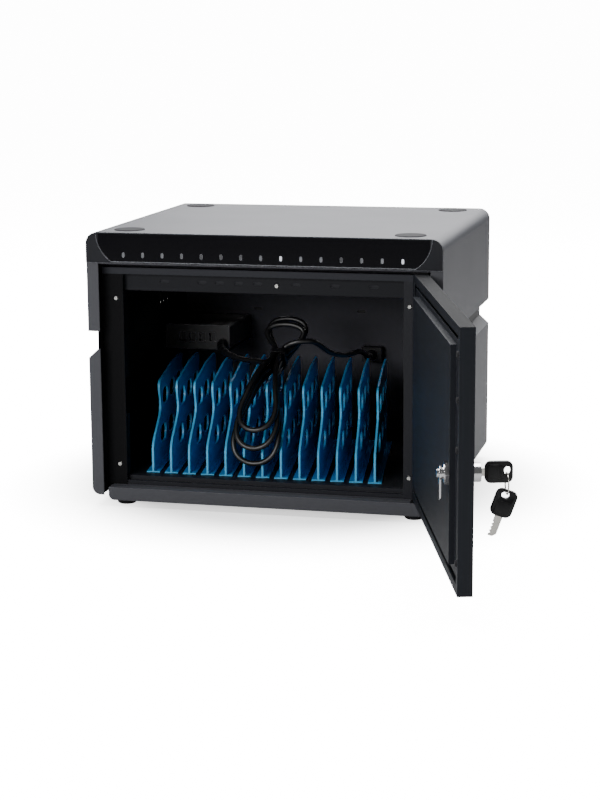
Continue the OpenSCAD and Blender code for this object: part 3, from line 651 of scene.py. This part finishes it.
@dataclass
class Maker:
    """Turns shapes in millimetres into pieces that ride on the CAD bodies.

    Attributes:
        finishes: The materials, by slot.
        made: Names of the pieces made so far.
    """

    finishes: Finishes
    made: list[str] = field(default_factory=list)

    def piece(
        self,
        name: str,
        shape: bmesh.types.BMesh,
        slot: str,
        body: Body,
        place: Matrix | None = None,
        replaces: Iterable[str] = (),
        sharp: float = 35,
    ) -> bpy.types.Object:
        """Makes one piece from a shape.

        Args:
            name: The piece's name.
            shape: Its mesh in millimetres. It is freed.
            slot: The record's slot that it takes its finish from.
            body: The CAD body that it rides on.
            place: Where it goes, in millimetres.
            replaces: CAD nodes that it stands for.
            sharp: Edges that turn by more than this angle stay sharp, in degrees.

        Returns:
            The new object.
        """
        if place is not None:
            shape.transform(place)
        shape.transform(Matrix.Scale(MM, 4))
        bmesh.ops.recalc_face_normals(shape, faces=shape.faces)
        for face in shape.faces:
            face.smooth = True
        for edge in shape.edges:
            edge.smooth = edge.calc_face_angle(0) < math.radians(sharp)
        mesh = to_mesh(name, shape)
        made = add_object(name, mesh)
        mesh.materials.append(self.finishes[slot])
        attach(made, body.value)
        if replaces:
            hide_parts(*replaces)
        self.made.append(name)
        return made


def tube(
    path: Sequence[Vector], radius: float | Callable[[float], float], sides: int
) -> bmesh.types.BMesh:
    """Sweeps a round section along a path.

    Args:
        path: Points of the middle line.
        radius: The section's radius, or a function of the share of the path.
        sides: Sides of the section.

    Returns:
        A closed tube.
    """
    shape = bmesh.new()
    side = Vector((0.2, 0.1, 1.0))  # any direction that the path doesn't start along
    rings = []
    for i, point in enumerate(path):
        along = (path[min(i + 1, len(path) - 1)] - path[max(i - 1, 0)]).normalized()
        side = (side - along * side.dot(along)).normalized()
        across = along.cross(side)
        size = radius(i / (len(path) - 1)) if callable(radius) else radius
        rings.append([
            shape.verts.new(point + size * (math.cos(a) * side + math.sin(a) * across))
            for a in (2 * math.pi * k / sides for k in range(sides))
        ])
    for low, high in zip(rings, rings[1:]):
        for k in range(sides):
            shape.faces.new((low[k], low[(k + 1) % sides], high[(k + 1) % sides], high[k]))
    shape.faces.new(rings[0][::-1])
    shape.faces.new(rings[-1])
    return shape


def plate(
    outline: Sequence[Point], thick: float, bevel: float, steps: int
) -> bmesh.types.BMesh:
    """Makes a plate with rounded rims from an outline in Y and Z.

    Args:
        outline: Corners of the outline.
        thick: Its thickness along X, half to each side.
        bevel: Radius of the rims.
        steps: Segments of each rim.

    Returns:
        The plate.
    """
    shape = bmesh.new()
    face = shape.faces.new([shape.verts.new((-thick / 2, y, z)) for y, z in outline])
    bmesh.ops.recalc_face_normals(shape, faces=[face])
    grown = bmesh.ops.extrude_face_region(shape, geom=[face])
    moved = [v for v in grown["geom"] if isinstance(v, bmesh.types.BMVert)]
    bmesh.ops.translate(shape, verts=moved, vec=(thick, 0, 0))
    bmesh.ops.recalc_face_normals(shape, faces=shape.faces)
    rims = [e for e in shape.edges if abs(e.verts[0].co.x - e.verts[1].co.x) < 1e-6]
    bmesh.ops.bevel(
        shape, geom=rims, offset=bevel, segments=steps, affect="EDGES", profile=0.5
    )
    return shape


def rounded(
    width: float, height: float, radius: float, steps: int = 6, centre: Point = (0, 0)
) -> list[Point]:
    """Outline of a rectangle with round corners.

    Args:
        width: Size along the first axis.
        height: Size along the second axis.
        radius: Radius of the corners.
        steps: Segments of each corner.
        centre: Middle of the rectangle.

    Returns:
        The outline's points, in order.
    """
    points = []
    for turn, (sx, sy) in enumerate(((1, 1), (-1, 1), (-1, -1), (1, -1))):
        for k in range(steps + 1):
            a = math.radians(90 * turn + 90 * k / steps)
            points.append((
                centre[0] + sx * (width / 2 - radius) + radius * math.cos(a),
                centre[1] + sy * (height / 2 - radius) + radius * math.sin(a),
            ))
    return points


def ease(share: float) -> float:
    """Smooth step from 0 to 1."""
    share = min(max(share, 0.0), 1.0)
    return share * share * (3 - 2 * share)


def curve(points: Sequence[Point], span: int, share: float) -> tuple[Vector, Vector]:
    """A place on a smooth curve through points, and the curve's slope there.

    Args:
        points: The points. The end ones are repeated beyond the ends.
        span: Number of the point before the place.
        share: How far the place is on the way to the next point.

    Returns:
        The place and the slope.
    """
    last = len(points) - 1
    a, b, c, d = (Vector(points[min(max(span + k, 0), last)]) for k in (-1, 0, 1, 2))
    first, second, third = c - a, 2 * a - 5 * b + 4 * c - d, 3 * b - a - 3 * c + d
    place = 0.5 * (2 * b + first * share + second * share * share + third * share**3)
    slope = 0.5 * (first + 2 * second * share + 3 * third * share * share)
    return place, slope


def spline(points: Sequence[Vector], steps: int) -> list[Vector]:
    """A smooth path through points, with this many steps between each pair."""
    spans = range(len(points) - 1)
    path = [curve(points, span, k / steps)[0] for span in spans for k in range(steps)]
    return [*path, points[-1]]


# ---- The lead and its hank ----


@dataclass(frozen=True)
class Lead:
    """The charging lead: it leaves the charging unit, is tied in a hank and enters the gland.

    Attributes:
        diameter: Outer diameter.
        low: Reach of a lower loop from the waist, less low_less for each half turn.
        up: Reach of an upper loop, less up_less for each half turn.
        full: Fullness of a lower loop, less full_less for each half turn.
        upper_full: Fullness of an upper loop, as a share.
        half_turns: Half turns in the hank.
        per_turn: Points on each.
        middle: Where the hank lies across the cabinet.
        lean: How far it leans for each millimetre along it.
        layer: From one layer to the next.
        waist: Half the distance between the strands at the waist.
        step: From one knot of the spine to the next.
        low_knots: Knots below the waist.
        unit_front: From the shell's front to the charging unit's.
        exit_x: Where the lead comes out, across the cabinet.
        exit_z: Height where it comes out.
        inlet_x: Where it goes in, across the cabinet.
        gland_front: From the shell's front to the gland's mouth.
        stub: Straight ends of the hank.
        knots: The hank's spine, as depth and height from a divider's upper front corner.
    """

    diameter: float = 7
    low: float = 161
    low_less: float = 9
    up: float = 75
    up_less: float = 5
    full: float = 68
    full_less: float = 4
    upper_full: float = 0.8
    half_turns: int = 5
    per_turn: int = 48
    middle: float = -17
    lean: float = 0.04
    layer: float = 8.4
    waist: float = 4.3
    step: float = 22
    low_knots: int = 9
    unit_front: float = 251.3
    exit_x: float = -120.8
    exit_z: float = 166.6
    inlet_x: float = 62
    gland_front: float = 336.5
    stub: float = 14
    knots: tuple[Point, ...] = (
        (-4.6, -126), (-4.6, -104), (-4.4, -82), (2.6, -61.1), (15, -42.9), (28.4, -25.4),
        (42, -7.6), (60.4, 5.4), (82, 11.2), (103, 17.6), (122.3, 28.2), (136.4, 45.1),
        (146.7, 64.5), (156.5, 84.2), (166.3, 103.9),
    )

    @property
    def divider_top(self) -> float:
        """Highest edge of the dividers."""
        return SIZES.floor + SIZES.divider_height + SIZES.divider_rise

    def spine(self, v: float, w: float) -> tuple[float, float]:
        """Depth and height of the hank, v up along it from its waist and w off the dividers."""
        knot = v / self.step + self.low_knots
        place, slope = curve(self.knots, math.floor(knot), knot - math.floor(knot))
        off = w * Vector((-slope.y, slope.x)) / slope.length
        return (
            SIZES.front + SIZES.divider_front + place.x + off.x,
            SIZES.floor + SIZES.divider_height + place.y + off.y,
        )

    def at(self, u: float, v: float, level: float) -> Vector:
        """A point of the hank from its place across, along and off the dividers."""
        return Vector((self.middle + u + self.lean * v, *self.spine(v, level * self.layer)))

    def loop_point(self, t: float) -> Vector:
        """A point of the looped lead, at t half turns from the waist."""
        lobe = math.floor(min(t, self.half_turns - 0.0001))  # the end belongs to the last one
        a = math.pi * t
        upper = lobe % 2 == 1
        reach = self.up - self.up_less * lobe if upper else self.low - self.low_less * lobe
        full = self.full * self.upper_full if upper else self.full - self.full_less * lobe
        u = -math.cos(a) * (self.waist + full * math.sin(a) ** 2)
        level = lobe // 2 + (ease(t - lobe) if upper else 0)
        return self.at(u, -math.sin(a) * reach, level)

    def path(self) -> list[Vector]:
        """The lead's whole middle line."""
        count = self.per_turn * self.half_turns
        hank = [self.loop_point(k * self.half_turns / count) for k in range(count + 1)]
        nudge = 5 / 120
        into = (self.loop_point(nudge) - hank[0]).normalized()
        away = (hank[-1] - self.loop_point(self.half_turns - nudge)).normalized()
        front, rack = SIZES.front, SIZES.front + SIZES.divider_front
        unit, top = front + self.unit_front, self.divider_top
        x, z = self.exit_x, self.exit_z
        # From the charging unit down to the dividers' tops and forward to the hank
        lead = [Vector(p) for p in (
            (x, unit + 4, z), (x, unit - 10, z), (x + 5, unit - 23, z - 4),
            (x + 21, unit - 39, z - 9), (-78, unit - 51, top + 4.8),
            (-55, unit - 61, top + 4.8), (-36, unit - 73, top + 5),
        )]
        # From the hank back over the dividers' tops, and down into the gland
        end, level, mouth = front + self.gland_front, top - 10, self.inlet_x
        tail = [self.at(14, 24, 2.3), self.at(28, 30, 2.3), self.at(42, 34, 1.4)]
        tail += [Vector(p) for p in (
            (38, rack + 148, top + 20), (48, rack + 177, top + 11), (56, rack + 207, top + 8),
            (60, rack + 232, top + 7), (mouth, rack + 255, level + 10),
            (mouth, end - 16, level + 2), (mouth, end, level), (mouth, end + 8, level),
        )]
        inward = spline([*lead, hank[0] - self.stub * into, hank[0]], 8)
        outward = spline([hank[-1], hank[-1] + self.stub * away, *tail], 8)
        return inward[:-1] + hank + outward[1:]

    def build(self, maker: Maker) -> None:
        """Makes the lead, its tie and its relief."""
        path = self.path()
        lead = maker.piece(
            "charging_lead", tube(path, self.diameter / 2, sides=14), "cord", Body.CABINET,
            replaces=("cord_lead", "cord_hank", "cord_tail"),
        )
        tie = self.tie(maker)
        relief = self.relief(maker, path)

    def relief(self, maker: Maker, path: Sequence[Vector]) -> bpy.types.Object:
        """Makes the tapered, ribbed sleeve where the lead leaves the charging unit.

        Args:
            maker: What makes the piece.
            path: The lead's middle line.

        Returns:
            The sleeve.
        """
        thick, taper, groove, waves, plain_end = 6.2, 2.3, 0.35, 60, 0.9

        def radius(share: float) -> float:
            """Radius at a share of the length, less in a groove."""
            cut = groove if math.sin(share * waves) > 0.2 and share < plain_end else 0
            return thick - taper * share - cut

        face = SIZES.front + self.unit_front - 0.2
        covered = [point for point in path[:40] if point.y < face][:26]
        start = Vector((self.exit_x, face, self.exit_z))
        shape = tube(spline([start, *covered], 3), radius, sides=20)
        return maker.piece("lead_relief", shape, "black_plastic", Body.CABINET, sharp=50)

    def tie(self, maker: Maker) -> bpy.types.Object:
        """Makes the band round the hank's waist, a little puffed up between its edges.

        Args:
            maker: What makes the piece.

        Returns:
            The band.
        """
        band, wrap, corner, steps, sections = 9.0, 1.2, 3.4, 5, 7
        side_clear, face_clear = 0.7, 0.6
        puff, widen, wave = 0.25, 0.02, 0.25
        half = self.waist + self.diameter / 2 + side_clear
        low = -self.diameter / 2 - face_clear
        high = 2 * self.layer + self.diameter / 2 + face_clear
        tall, centre = high - low, (0, (low + high) / 2)
        inside = rounded(2 * half, tall, corner, steps, centre)
        outside = rounded(2 * (half + wrap), tall + 2 * wrap, corner + wrap, steps, centre)
        shape = bmesh.new()
        rings: list[list[bmesh.types.BMVert]] = []
        for k in range(sections):
            y = band * (k / (sections - 1) - 0.5)
            swell = puff * math.cos(math.pi * y / band)
            rings.append([
                shape.verts.new((
                    x * (1 + widen * swell), y + wave * math.sin(x), z + swell * (z > 0),
                ))
                for x, z in outside
            ])
        inner = [
            [shape.verts.new((x, y, z)) for x, z in inside] for y in (-band / 2, band / 2)
        ]
        count = len(inside)
        loops = [inner[0], *rings, inner[1]]
        for near, far in zip(loops, [*loops[1:], loops[0]]):
            for k in range(count):
                j = (k + 1) % count
                shape.faces.new((near[k], near[j], far[j], far[k]))
        y0, z0 = self.spine(-2, 0)
        y1, z1 = self.spine(2, 0)
        tilt = Matrix.Rotation(math.atan2(z1 - z0, y1 - y0), 4, "X")
        place = Matrix.Translation(self.at(0, 0, 0)) @ tilt
        return maker.piece(
            "hank_tie", shape, "black_plastic", Body.CABINET, place, ("cord_tie",), sharp=60
        )


# ---- Sheets behind vents and slots ----


@dataclass(frozen=True)
class Cover:
    """A thin sheet behind a row of vents or slots, in millimetres.

    Attributes:
        name: The piece's name.
        place: Middle of the sheet.
        size: Its width and height.
        slot: The record's slot that it takes its finish from.
        faces_side: Whether it lies along a side wall, and not along the back wall.
        thick: Its thickness.
    """

    name: str
    place: Point
    size: tuple[float, float]
    slot: str = "black_plastic"
    faces_side: bool = False
    thick: float = 0.5

    def build(self, maker: Maker) -> None:
        """Makes the sheet."""
        sheet = plate(rounded(*self.size, 2), self.thick, 0.1, 1)
        turn = Matrix.Rotation(math.radians(0 if self.faces_side else 90), 4, "Z")
        place = Matrix.Translation(self.place) @ turn
        maker.piece(self.name, sheet, self.slot, Body.CABINET, place)


COVERS: tuple[Cover, ...] = (
    Cover("slot_cover_left", (-104, 183.85, 197), (14, 6)),
    Cover("slot_cover_right", (44, 183.85, 197), (14, 6)),
    Cover("wall_cover_left", (-208.4, 100, 215), (84, 9), faces_side=True),
    Cover("wall_cover_right", (208.4, 100, 215), (84, 9), faces_side=True),
    Cover("rail_backing", (1, -154.6, 280), (284, 8), "inside"),
)


# ---- Keys ----


@dataclass(frozen=True)
class Keys:
    """The key in the lock and the spare on its ring.

    Attributes:
        head_length: A head's length.
        head_height: A head's height.
        head_thick: A head's thickness.
        corner: Radius of its corners.
        soft_rim: Radius of its rims.
        neck: From the key's shoulder to its head.
        hole: Diameter of the ring hole, and its distance from the head's end.
        hole_lift: How far the hole is above the key's middle line.
        hole_stretch: The hole's size along and up, as shares.
        grip: Length, height, corner and thickness of the raised pads.
        grip_back: From the head's middle to theirs.
        lock_clear: From the lock's rim to the key's shoulder.
        ring: The ring's diameter.
        wire: The ring's thickness.
        slack: Its play in a hole.
        tilt: How far the spare key leans, in degrees.
    """

    head_length: float = 29
    head_height: float = 23
    head_thick: float = 7
    corner: float = 6.5
    soft_rim: float = 1.6
    neck: float = 3
    hole: float = 6
    hole_lift: float = 1.5
    hole_stretch: tuple[float, float] = (1.15, 1.5)
    grip: tuple[float, float, float, float] = (13.5, 15.5, 2.5, 1.2)
    grip_back: float = 5.2
    lock_clear: float = 1.2
    ring: float = 22
    wire: float = 1.6
    slack: float = 0.3
    tilt: float = 20

    @property
    def key_place(self) -> Matrix:
        """Where the key sits in the lock, at rest."""
        ahead = Vector((0, SIZES.rim + self.lock_clear, 0))
        return SIZES.on_door() @ Matrix.Translation(SIZES.lock - ahead)

    @property
    def hole_reach(self) -> float:
        """From the key's shoulder to the middle of the ring hole."""
        return self.neck + self.head_length - self.hole

    @property
    def spare_place(self) -> Matrix:
        """Where the spare key hangs, at rest."""
        sag = self.ring / 2 - math.sqrt((self.ring / 2) ** 2 - (self.head_thick / 2) ** 2)
        lift = self.wire / 2 + sag + self.slack
        drop = self.hole - 2 * lift + self.ring
        reach = SIZES.rim + self.lock_clear + self.hole_reach
        hole = SIZES.lock - Vector((0, reach, drop))
        return (
            SIZES.on_door() @ Matrix.Translation(hole)
            @ Matrix.Rotation(math.radians(self.tilt), 4, "X")
            @ Matrix.Rotation(math.radians(-90), 4, "X")
            @ Matrix.Translation((0, self.hole_reach, 0))
        )

    def head(self) -> bmesh.types.BMesh:
        """A moulded head with rounded rims and a raised grip on each side."""
        middle = -self.neck - self.head_length / 2
        outline = rounded(self.head_length, self.head_height, self.corner, 8, (middle, 0))
        shape = plate(outline, self.head_thick - self.soft_rim, self.soft_rim, 4)
        length, height, corner, thick = self.grip
        rim = rounded(length, height, corner, 5, (middle + self.grip_back, 0))
        for side in (-1, 1):
            pad = plate(rim, thick, 0.5, 2)
            pad.transform(Matrix.Translation((side * (self.head_thick / 2 - 0.75), 0, 0)))
            mesh = to_mesh("pad", pad)
            shape.from_mesh(mesh)
            bpy.data.meshes.remove(mesh)
        return shape

    def build(self, maker: Maker) -> None:
        """Makes both heads."""
        for name, place, body, node in (
            ("key_grip", self.key_place, Body.KEY, "key_head"),
            ("spare_grip", self.spare_place, Body.SPARE, "spare_head"),
        ):
            head = maker.piece(name, self.head(), "black_plastic", body, place, (node,))
            self.drill(head, place)

    def drill(self, head: bpy.types.Object, place: Matrix) -> None:
        """Cuts the ring hole through a head.

        Args:
            head: The head.
            place: Where the key is, in millimetres.
        """
        bit = bmesh.new()
        bmesh.ops.create_cone(
            bit, cap_ends=True, segments=32, radius1=self.hole / 2, radius2=self.hole / 2,
            depth=3 * self.head_thick,
            matrix=place @ Matrix.Translation((0, -self.hole_reach, self.hole_lift))
            @ Matrix.Diagonal((1, *self.hole_stretch, 1))
            @ Matrix.Rotation(math.radians(90), 4, "Y"),
        )
        bit.transform(Matrix.Scale(MM, 4))
        mesh = to_mesh("bit", bit)
        cutter = add_object("bit", mesh)
        cut = head.modifiers.new("hole", "BOOLEAN")
        cut.operation = "DIFFERENCE"
        cut.solver = "EXACT"
        cut.use_self = True
        cut.object = cutter
        graph = bpy.context.evaluated_depsgraph_get()
        result = bpy.data.meshes.new_from_object(head.evaluated_get(graph))
        head.modifiers.clear()
        head.data = result
        bpy.data.objects.remove(cutter)
        bpy.data.meshes.remove(mesh)


# ---- Studio ----


@dataclass(frozen=True)
class Softbox:
    """A soft area light, in metres and watts."""

    name: str
    place: Point
    aim: Point
    size: tuple[float, float]
    power: float

    def build(self) -> None:
        """Adds the light to the scene."""
        light = bpy.data.lights.new(self.name, "AREA")
        light.shape = "RECTANGLE"
        light.size, light.size_y = self.size
        light.energy = self.power
        made = add_object(self.name, light)
        made.location = self.place
        way = Vector(self.aim) - Vector(self.place)
        made.rotation_euler = way.to_track_quat("-Z", "Y").to_euler()


@dataclass(frozen=True)
class Studio:
    """White floor, soft light and the camera at the photograph's viewing angle.

    Attributes:
        focal_px: Focal length in pixels of the frame.
        camera: Camera's place, in millimetres.
        azimuth: Turn to the right of the cabinet's front, in degrees.
        elevation: Height angle, in degrees.
        roll: Roll, in degrees.
        frame_height_px: Height of the frame.
        backdrop: Strength of the backdrop's white, for the camera.
        sky: Strength of the even light on everything else.
        glow: Strength of the floor's white near the object, for the camera.
        fade: Where that passes into the backdrop's, from the middle, in metres.
        paper: The floor's grey for the camera.
        bounce: The floor's grey for everything else.
        reach: Half the floor's size, in metres.
        rise: Height that it sweeps up to, in metres.
        bend: Radius of the sweep, in metres.
        softboxes: The lights.
    """

    focal_px: float = 1941.1
    camera: Point = (597.34, -2405.94, 602.66)
    azimuth: float = 13.914
    elevation: float = 11.314
    roll: float = -0.374
    frame_height_px: int = 800
    backdrop: float = 14.0
    sky: float = 0.15
    glow: float = 1.0
    fade: tuple[float, float] = (0.21, 0.42)
    paper: float = 0.93
    bounce: float = 0.35
    reach: float = 9.0
    rise: float = 5.0
    bend: float = 2.0
    softboxes: tuple[Softbox, ...] = (
        Softbox("top_softbox", (0.0, 0.5, 2.6), (0.0, 0.0, 0.2), (3.0, 2.4), 300),
        Softbox("front_softbox", (-0.75, -2.7, 1.0), (0.0, 0.0, 0.1), (1.2, 0.9), 54),
        Softbox("back_softbox", (0.3, 2.6, 1.5), (0.0, 0.0, 0.3), (3.0, 1.2), 60),
    )

    def build(self) -> None:
        """Builds floor, light and camera."""
        self._floor()
        self._world()
        for softbox in self.softboxes:
            softbox.build()
        self._camera()

    def _floor(self) -> None:
        """A pale floor that sweeps up far behind the object."""
        shape = bmesh.new()
        reach, bend, steps = self.reach, self.bend, 12
        profile = [(-reach, 0.0)]
        for k in range(steps + 1):
            a = math.radians(90 * k / steps)
            profile.append((reach - bend + bend * math.sin(a), bend - bend * math.cos(a)))
        profile.append((reach, self.rise))
        left, right = (
            [shape.verts.new((x, y, z)) for y, z in profile] for x in (-reach, reach)
        )
        for k in range(len(profile) - 1):
            shape.faces.new((left[k], right[k], right[k + 1], left[k + 1])).smooth = True
        mesh = to_mesh("studio_floor", shape)
        mesh.materials.append(self._paper())
        add_object("studio_floor", mesh)

    def _paper(self) -> bpy.types.Material:
        """The floor's paper, which glows for the camera and more so further out."""
        paper = bpy.data.materials.new("paper")
        paper.use_nodes = True
        tree, link = paper.node_tree, paper.node_tree.links.new
        shader = tree.nodes["Principled BSDF"]
        seen = tree.nodes.new("ShaderNodeLightPath").outputs["Is Camera Ray"]
        greys = [(grey, grey, grey, 1) for grey in (self.bounce, self.paper)]
        link(mixed(tree, seen, *greys), shader.inputs["Base Color"])
        distance = tree.nodes.new("ShaderNodeVectorMath")
        distance.operation = "LENGTH"
        link(tree.nodes.new("ShaderNodeNewGeometry").outputs["Position"], distance.inputs[0])
        fade = ranged(
            tree, distance.outputs["Value"], *self.fade, self.glow, self.backdrop, "SMOOTHSTEP"
        )
        shader.inputs["Emission Color"].default_value = WHITE
        link(maths(tree, "MULTIPLY", fade, seen), shader.inputs["Emission Strength"])
        shader.inputs["Roughness"].default_value = 0.9
        shader.inputs["Specular IOR Level"].default_value = 0.1
        return paper

    def _world(self) -> None:
        """A white backdrop for the camera, and a dim even light for everything else."""
        world = bpy.data.worlds.new("studio")
        world.use_nodes = True
        tree = world.node_tree
        background = tree.nodes["Background"].inputs
        seen = tree.nodes.new("ShaderNodeLightPath").outputs["Is Camera Ray"]
        strength = mixed(tree, seen, self.sky, self.backdrop, colours=False)
        background["Color"].default_value = WHITE
        tree.links.new(strength, background["Strength"])
        bpy.context.scene.world = world

    def _camera(self) -> None:
        """The camera, at the photograph's place and focal length."""
        view = bpy.data.cameras.new("photo_camera")
        view.sensor_fit = "AUTO"
        view.sensor_width = 36
        view.lens = self.focal_px / self.frame_height_px * view.sensor_width
        view.clip_end = 50
        made = add_object("photo_camera", view)
        made.matrix_world = (
            Matrix.Translation(Vector(self.camera) * MM)
            @ Matrix.Rotation(math.radians(self.azimuth), 4, "Z")
            @ Matrix.Rotation(math.radians(90 - self.elevation), 4, "X")
            @ Matrix.Rotation(math.radians(self.roll), 4, "Z")
        )
        bpy.context.scene.camera = made


def main() -> None:
    """Builds the looks in order and reports each piece."""
    logging.basicConfig(level=logging.INFO, format="%(name)s: %(message)s")
    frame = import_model()
    Studio().build()
    finishes = Finishes()
    maker = Maker(finishes)
    LOG.info("dressed %d CAD nodes", finishes.dress(frame))
    Lead().build(maker)
    for cover in COVERS:
        cover.build(maker)
    Keys().build(maker)
    for name in maker.made:
        LOG.info("made %s", name)


if __name__ == "__main__":
    main()
